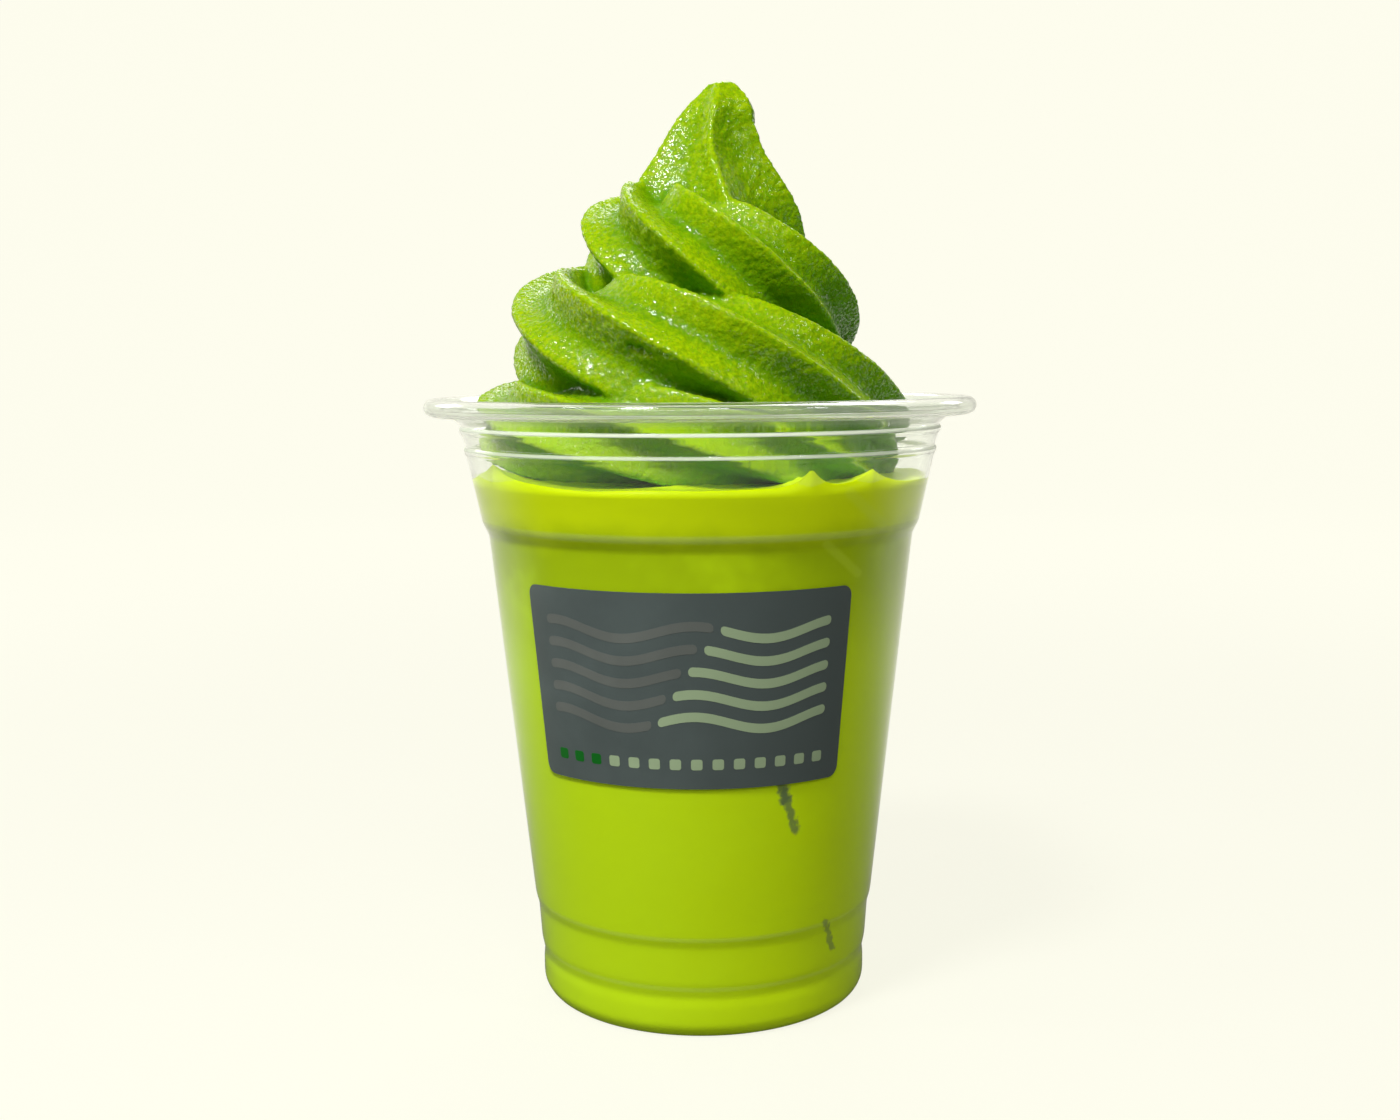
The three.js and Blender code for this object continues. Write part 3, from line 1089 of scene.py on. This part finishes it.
    def filling(self) -> Skin:
        """Skin of what fills the middle of the coil."""
        vertices, faces = spin(list(self.core), 64)
        return vertices + np.array([*self.centre, 0.0]), faces

    def build(self, finish: Material) -> Piece:
        """Builds the soft serve.

        Args:
            finish: The cream.

        Returns:
            The soft serve, riding on the root body.
        """
        rough = join_skins("soft_serve_rough", [self.rope(), self.peak(), self.curl(), self.filling()])
        coil = remeshed(rough, "soft_serve_coil", self.voxel)
        write_points(coil.data, averaged(coil.data, passes=1, share=0.5))
        self.roughen(coil.data)
        # Marks where the painted shade of the hollows falls.
        mark_hollow_shade(coil.data)
        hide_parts("soft_serve")
        return settle(coil, finish)

    def roughen(self, mesh: bpy.types.Mesh) -> None:
        """Gives the skin the low lumps, ripples and pits of real soft serve.

        Args:
            mesh: The coil's mesh.
        """
        points = read_points(mesh)
        rise = np.zeros(len(points))
        for lumps in self.lumps:
            shift = Vector(lumps.shift)
            levels = [noise.noise(Vector(point * lumps.count) + shift) for point in points]
            rise += lumps.height * np.array(levels)
        for pit in PITS:
            gap = np.linalg.norm(points - np.array(pit.place), axis=1)
            rise -= pit.depth * np.exp(-(gap / pit.reach) ** 2)
        write_points(mesh, points + read_rows(mesh.vertex_normals, "vector") * rise[:, None])


def read_rows(items: bpy.types.bpy_prop_collection, name: str) -> np.ndarray:
    """Reads one vector of each item as a row."""
    values = np.empty(len(items) * 3)
    items.foreach_get(name, values)
    return values.reshape(-1, 3)


def read_points(mesh: bpy.types.Mesh) -> np.ndarray:
    """Vertices of a mesh in millimetres."""
    return read_rows(mesh.vertices, "co") / MM


def write_points(mesh: bpy.types.Mesh, points: np.ndarray) -> None:
    """Moves a mesh's vertices to places in millimetres."""
    mesh.vertices.foreach_set("co", (points * MM).ravel())
    mesh.update()


def join_skins(name: str, skins: Sequence[Skin]) -> Piece:
    """Puts several closed skins in one mesh object.

    Args:
        name: The object's name.
        skins: The skins.

    Returns:
        The object.
    """
    vertices, faces, first = [], [], 0
    for points, polygons in skins:
        vertices.append(points)
        faces += [tuple(first + corner for corner in polygon) for polygon in polygons]
        first += len(points)
    return make_piece(name, np.vstack(vertices), faces)


def remeshed(rough: Piece, name: str, voxel: float) -> Piece:
    """Replaces overlapping skins by one even skin round all of them.

    Args:
        rough: The object with the skins, which is removed.
        name: The new piece's name.
        voxel: Size of the new mesh's cells in millimetres.

    Returns:
        The new piece.
    """
    modifier = rough.modifiers.new("Even skin", "REMESH")
    modifier.mode = "VOXEL"
    modifier.voxel_size = voxel * MM
    modifier.use_smooth_shade = True
    graph = bpy.context.evaluated_depsgraph_get()
    mesh = bpy.data.meshes.new_from_object(rough.evaluated_get(graph))
    mesh.name = name
    bpy.data.objects.remove(rough)
    piece = bpy.data.objects.new(name, mesh)
    bpy.context.scene.collection.objects.link(piece)
    mesh.shade_smooth()
    return piece


def averaged(mesh: bpy.types.Mesh, passes: int, share: float) -> np.ndarray:
    """Moves each vertex part of the way to the middle of its neighbours.

    Args:
        mesh: The mesh, which stays as it is.
        passes: How often.
        share: Part of the way for each pass.

    Returns:
        The moved vertices in millimetres.
    """
    edges = np.empty(len(mesh.edges) * 2, int)
    mesh.edges.foreach_get("vertices", edges)
    first, second = edges.reshape(-1, 2).T
    ends, others = np.concatenate([first, second]), np.concatenate([second, first])
    points = read_points(mesh)
    count = np.bincount(ends, minlength=len(points))
    for _ in range(passes):
        for axis in range(3):
            total = np.bincount(ends, weights=points[others, axis], minlength=len(points))
            points[:, axis] += share * (total / count - points[:, axis])
    return points


def mark_hollow_shade(mesh: bpy.types.Mesh, passes: int = 60, low: float = -0.25, high: float = 0.75) -> None:
    """Stores how far each vertex lies down in the skin's hollows, from 0 on a crest to 1 at the bottom of
    a groove, as the mask of the painted shade there.

    Args:
        mesh: The mesh to mark.
        passes: How widely the skin is averaged to find its hollows.
        low: Depth in millimetres below the averaged skin that still counts as 0.
        high: Depth in millimetres that counts as 1.
    """
    moved = averaged(mesh, passes, share=0.6) - read_points(mesh)
    depth = (moved * read_rows(mesh.vertex_normals, "vector")).sum(axis=1)
    hollow_shade = mesh.attributes.new(HOLLOW_SHADE, "FLOAT", "POINT")
    hollow_shade.data.foreach_set("value", smooth_step(depth, low, high).astype(np.float32))
    LOG.info("hollows reach from %.2f to %.2f mm", *np.percentile(depth, (5, 95)))


# ---------------------------------------------------------------- drink
@dataclass(frozen=True)
class MeltRidge:
    """Ridge of drink drawn up the wall, by direction in degrees, height and spread in degrees."""

    direction: float
    height: float
    spread: float


@dataclass
class Drink:
    """Green drink that fills the cup up to its level."""

    cup: Cup
    level: float = 94.0
    wall_reach: float = 0.3
    ridges: tuple[MeltRidge, ...] = (
        MeltRidge(-148.0, 3.4, 8.0),
        MeltRidge(-64.5, 3.6, 3.4),
        MeltRidge(-47.0, 2.5, 5.5),
    )
    ripples: tuple[tuple[float, int], ...] = ((0.18, 7), (0.12, 13))
    climb_reach: float = 9.0
    meniscus: float = 0.9
    meniscus_reach: float = 1.1
    floor_corner: float = 1.5
    segments: int = 360
    rings: int = 26
    ring_power: float = 0.8

    def side(self) -> Profile:
        """Profile of the drink against the wall, from the floor to the level."""
        wall = [p for p in self.cup.outer_wall() if self.cup.wall < p[1] < self.level]
        against = [(radius - self.wall_reach, z) for radius, z in wall]
        return [(0.0, self.cup.wall), (wall[0][0] - self.floor_corner, self.cup.wall), *against]

    def rise(self, x: np.ndarray, y: np.ndarray, edge: float) -> np.ndarray:
        """Rise of the surface above the level by the ripples and melt ridges at the wall.

        Args:
            x: Places on the surface.
            y: Places on the surface.
            edge: Radius of the surface.

        Returns:
            How far it rises at each place.
        """
        direction = np.degrees(np.arctan2(y, x))
        reach = np.clip(1 - (edge - np.hypot(x, y)) / self.climb_reach, 0, 1) ** 2
        height = sum(tall * np.sin(np.radians(direction) * count) for tall, count in self.ripples)
        for ridge in self.ridges:
            height = height + ridge.height * np.exp(-np.abs(direction - ridge.direction) / ridge.spread)
        return height * reach

    def build(self, finish: Material, coil: Piece) -> Piece:
        """Builds the drink.

        Args:
            finish: The drink's material.
            coil: The soft serve, which the surface climbs a little.

        Returns:
            The drink, riding on the root body.
        """
        side = self.side()
        edge = side[-1][0] + self.cup.mouth_taper * (self.level - side[-1][1])
        ring_radii = edge * np.linspace(1, 0, self.rings + 1)[:-1] ** self.ring_power
        profile = [*side, *((float(radius), self.level) for radius in ring_radii), (0.0, self.level)]
        vertices, faces = spin(profile, self.segments)
        first = len(side) * self.segments
        tree = BVHTree.FromObject(coil, bpy.context.evaluated_depsgraph_get())
        top = vertices[first:]
        top[:, 2] += self.rise(top[:, 0], top[:, 1], edge)
        for point in top:
            gap = (tree.find_nearest(Vector(point * MM))[3] or 0.0) / MM
            point[2] += self.meniscus * math.exp(-gap / self.meniscus_reach)
        drink = make_piece("drink_body", vertices, faces)
        merge_close(drink, 0.0005)
        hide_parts("drink")
        return settle(drink, finish)


# ---------------------------------------------------------------- print
@dataclass(frozen=True)
class Patch:
    """Shape of ink, in shares of the panel from its left and its bottom.

    The wave is how far its middle line swings up and down, as a share of the panel's height, and the
    corner is the radius of its corners in millimetres.
    """

    name: str
    tone: InkTone
    left: float
    right: float
    bottom: float
    top: float
    wave: float = 0.0
    corner: float = 0.0


@dataclass
class PrintedPanel:
    """Panel printed on the front of the cup: rolling stripes over a row of small tabs."""

    cup: Cup
    left_direction: float = -140.4
    right_direction: float = -48.4
    bottom_z: float = 44.8
    top_z: float = 77.6
    lift: float = 0.02
    thickness: float = 0.03
    stripe_count: int = 5
    stripe_half: float = 0.024
    stripe_step: float = 0.115
    stripe_low: float = 0.34
    stripe_wave: float = 0.035
    stripe_corner: float = 0.7
    wave_length: float = 0.42
    margin: float = 0.07
    turn_first: float = 0.40
    turn_step: float = 0.045
    turn_gap: float = 0.02
    tab_count: int = 14
    tab_width: float = 0.034
    tab_bottom: float = 0.10
    tab_top: float = 0.155
    tab_corner: float = 0.4
    green_tabs: tuple[int, ...] = (0, 1, 2)
    ground_corner: float = 1.8

    def patches(self) -> list[Patch]:
        """The ground and what is printed on it, from the lowest ink to the highest.

        Returns:
            The patches.
        """
        made = [Patch("ground", InkTone.SLATE, 0.0, 1.0, 0.0, 1.0, corner=self.ground_corner)]
        for number in range(self.stripe_count):
            middle = self.stripe_low + number * self.stripe_step
            turn = self.turn_first + self.turn_step * number
            shape = (middle - self.stripe_half, middle + self.stripe_half, self.stripe_wave)
            halves = (
                ("shade", InkTone.PEWTER, self.margin, turn),
                ("stripe", InkTone.SAGE, turn + self.turn_gap, 1 - self.margin),
            )
            for name, tone, left, right in halves:
                made.append(Patch(f"{name}_{number}", tone, left, right, *shape, self.stripe_corner))
        pitch = (1 - 2 * self.margin) / (self.tab_count - 0.45)
        for number in range(self.tab_count):
            left = self.margin + number * pitch
            tone = InkTone.LEAF if number in self.green_tabs else InkTone.SAGE
            ends = (left, left + self.tab_width, self.tab_bottom, self.tab_top)
            made.append(Patch(f"tab_{number}", tone, *ends, corner=self.tab_corner))
        return made

    def build(self, inks: dict[InkTone, Material]) -> list[Piece]:
        """Builds the inks.

        Args:
            inks: The material of each tone.

        Returns:
            The pieces of ink, riding on the root body.
        """
        return [self.ink(patch, inks[patch.tone]) for patch in self.patches()]

    def outline(self, patch: Patch) -> tuple[np.ndarray, np.ndarray, np.ndarray]:
        """Directions, lower heights and upper heights along a patch.

        Args:
            patch: The patch.

        Returns:
            The three, from the patch's left to its right.
        """
        reach = self.cup.body_at(self.bottom_z) * math.radians(self.right_direction - self.left_direction)
        start, end = patch.left * reach, patch.right * reach
        corner = max(patch.corner, 0.05)
        turns = np.linspace(0, math.pi / 2, 7)
        ends = corner * (1 - np.cos(turns))
        middle = np.linspace(start + corner, end - corner, max(3, int((end - start) / 0.9)))
        along = np.concatenate([start + ends, middle[1:-1], end - ends[::-1]])
        near = np.clip(np.minimum(along - start, end - along), 0, corner)
        inset = corner - np.sqrt(corner ** 2 - (corner - near) ** 2)
        tall = self.top_z - self.bottom_z
        swing = patch.wave * tall * np.sin(2 * math.pi * along / (self.wave_length * reach))
        low = self.bottom_z + patch.bottom * tall + swing + inset
        high = self.bottom_z + patch.top * tall + swing - inset
        direction = self.left_direction + (self.right_direction - self.left_direction) * along / reach
        return np.radians(direction), low, high

    def ink(self, patch: Patch, finish: Material) -> Piece:
        """Builds one patch of ink as a thin closed sheet on the wall.

        Args:
            patch: Where it lies on the panel.
            finish: Its material.

        Returns:
            The piece.
        """
        direction, low, high = self.outline(patch)
        rows = max(2, int((high - low).max() / 2.5) + 2)
        share = np.linspace(0, 1, rows)[:, None]
        height = low * (1 - share) + (high + 0.01) * share
        over = 0.0 if patch.name == "ground" else self.thickness
        sheets = []
        for depth in (0.0, self.thickness):
            radius = self.cup.body_at(height) + self.lift + over + depth
            sheets.append(stack(radius * np.cos(direction), radius * np.sin(direction), height))
        faces = closed_sheet_faces(rows, len(direction))
        piece = make_piece("print_" + patch.name, np.vstack(sheets), faces)
        piece.data.set_sharp_from_angle(angle=math.radians(40))
        return settle(piece, finish)


def closed_sheet_faces(rows: int, columns: int) -> Faces:
    """Faces of two equal grids of vertices, one behind the other, joined round their border.

    Args:
        rows: Number of rows in each grid.
        columns: Number of vertices in each row.

    Returns:
        The faces.
    """
    size = rows * columns
    front = grid_faces(rows, columns, closed=False, first=size)
    back = [tuple(reversed(face)) for face in grid_faces(rows, columns, closed=False)]
    border = [*range(columns)]
    border += [row * columns + columns - 1 for row in range(1, rows)]
    border += [(rows - 1) * columns + column for column in range(columns - 2, -1, -1)]
    border += [row * columns for row in range(rows - 2, 0, -1)]
    rim = [(a, b, b + size, a + size) for a, b in zip(border, border[1:] + border[:1])]
    return front + back + rim


# ---------------------------------------------------------------- studio
@dataclass(frozen=True)
class Lamp:
    """Flat lamp that faces the middle of the float, by its place, width and depth, and power in watts."""

    name: str
    place: Place
    size: tuple[float, float]
    power: float
    aim_z: float = 90.0

    def hang(self) -> None:
        """Hangs the lamp."""
        data = bpy.data.lights.new(self.name, "AREA")
        data.shape = "RECTANGLE"
        data.size, data.size_y = self.size[0] * MM, self.size[1] * MM
        data.energy = self.power
        lamp = bpy.data.objects.new(self.name, data)
        lamp.location = Vector(self.place) * MM
        towards = Vector((0, 0, self.aim_z * MM)) - lamp.location
        lamp.rotation_euler = towards.to_track_quat("-Z", "Y").to_euler()
        bpy.context.scene.collection.objects.link(lamp)


LAMPS = (
    Lamp("key", (-190, -300, 580), (110, 110), 2.8),
    Lamp("strip", (0, -520, 430), (900, 36), 0.75),
    Lamp("spark_left", (-350, -130, 560), (60, 60), 0.30),
    Lamp("spark_front", (60, -400, 540), (60, 60), 0.30),
    Lamp("spark_right", (330, -260, 430), (60, 60), 0.26),
    Lamp("wall_left", (-650, -80, 15), (600, 210), 0.60),
    Lamp("wall_right", (650, -160, 10), (500, 200), 0.29),
    Lamp("rim_left", (-480, 420, 330), (200, 200), 0.35),
    Lamp("rim_right", (480, 420, 330), (160, 160), 0.2),
    Lamp("back", (60, 560, 520), (300, 300), 0.9),
)


@dataclass
class Studio:
    """Plain pale floor, soft light and the camera."""

    lens: float = 41.1
    sensor: float = 36.0
    place: Place = (-0.17, -288.3, 113.54)
    pitch: float = 6.95
    roll: float = -0.376
    floor_size: float = 3000.0
    floor_flat: float = 900.0
    floor_bend: float = 400.0
    sky: Colour = (1.0, 0.985, 0.865, 1.0)
    sky_light: float = 0.07
    sky_seen: float = 0.97
    sky_glossy: float = 0.02

    def build_camera(self) -> None:
        """Sets the camera up as the photograph was taken."""
        data = bpy.data.cameras.new("camera")
        data.lens, data.sensor_width = self.lens, self.sensor
        data.clip_start, data.clip_end = 0.01, 20.0
        camera = bpy.data.objects.new("camera", data)
        tilt = Matrix.Rotation(math.radians(90 - self.pitch), 4, "X")
        turn = Matrix.Rotation(math.radians(self.roll), 4, "Z")
        camera.matrix_world = Matrix.Translation(Vector(self.place) * MM) @ tilt @ turn
        bpy.context.scene.collection.objects.link(camera)
        bpy.context.scene.camera = camera

    def build_floor(self, finish: Material) -> None:
        """Lays the floor, which curves up far behind the cup.

        Args:
            finish: The paper.
        """
        bend = arc((self.floor_flat, self.floor_bend), self.floor_bend, -90, 0, 15)
        back = self.floor_flat + self.floor_bend
        profile = [(-self.floor_size / 2, 0.0), *bend, (back, self.floor_size)]
        vertices = [(x, y, z) for y, z in profile for x in (-self.floor_size, self.floor_size)]
        faces = [(2 * i, 2 * i + 1, 2 * i + 3, 2 * i + 2) for i in range(len(profile) - 1)]
        floor = make_piece("studio_floor", np.array(vertices), faces)
        floor.data.materials.append(finish)

    def build_lights(self) -> None:
        """Hangs the soft lights and sets the sky."""
        for lamp in LAMPS:
            lamp.hang()
        world = bpy.data.worlds.new("studio")
        world.use_nodes = True
        canvas = Canvas(world.node_tree)
        path = canvas.add("LightPath").outputs
        seen = canvas.maths("MAXIMUM", path["Is Camera Ray"], path["Is Transmission Ray"])
        lit = canvas.maths("MULTIPLY", path["Is Diffuse Ray"], self.sky_light)
        shown = canvas.maths("ADD", canvas.maths("MULTIPLY", seen, self.sky_seen), lit)
        strength = canvas.maths("ADD", shown, self.sky_glossy)
        background = canvas.feed(canvas.add("Background"), Color=self.sky, Strength=strength)
        canvas.join(background.outputs[0], canvas.add("OutputWorld").inputs["Surface"])
        bpy.context.scene.world = world
        bpy.context.scene.view_settings.view_transform = "Standard"


# ---------------------------------------------------------------- the float
def report(pieces: Iterable[Piece]) -> None:
    """Logs the size of each piece."""
    for piece in pieces:
        size = [round(side / MM, 1) for side in piece.dimensions]
        LOG.info("%s: %d faces, %s mm", piece.name, len(piece.data.polygons), size)


def main() -> None:
    """Builds the float piece by piece."""
    logging.basicConfig(level=logging.INFO, format="%(name)s %(message)s")
    effects = Effects()
    low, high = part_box("cup")
    cup = Cup(rim_radius=(high.x - low.x) / 2 / MM, height=high.z / MM)
    soft_serve = SoftServe(peak_tip_z=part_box("soft_serve")[1].z / MM - 0.1)
    drink = Drink(cup=cup)
    coil = soft_serve.build(CreamFinish().build(effects))
    body = drink.build(DrinkFinish(drink.level).build(effects), coil)
    shell = cup.build(PlasticFinish().build(effects))
    inks = {tone: InkFinish(tone).build(effects) for tone in InkTone}
    prints = PrintedPanel(cup=cup).build(inks)
    studio = Studio()
    studio.build_floor(PaperFinish().build(effects))
    studio.build_lights()
    studio.build_camera()
    bpy.context.view_layer.update()
    report([coil, body, shell, *prints])


if __name__ == "__main__":
    main()
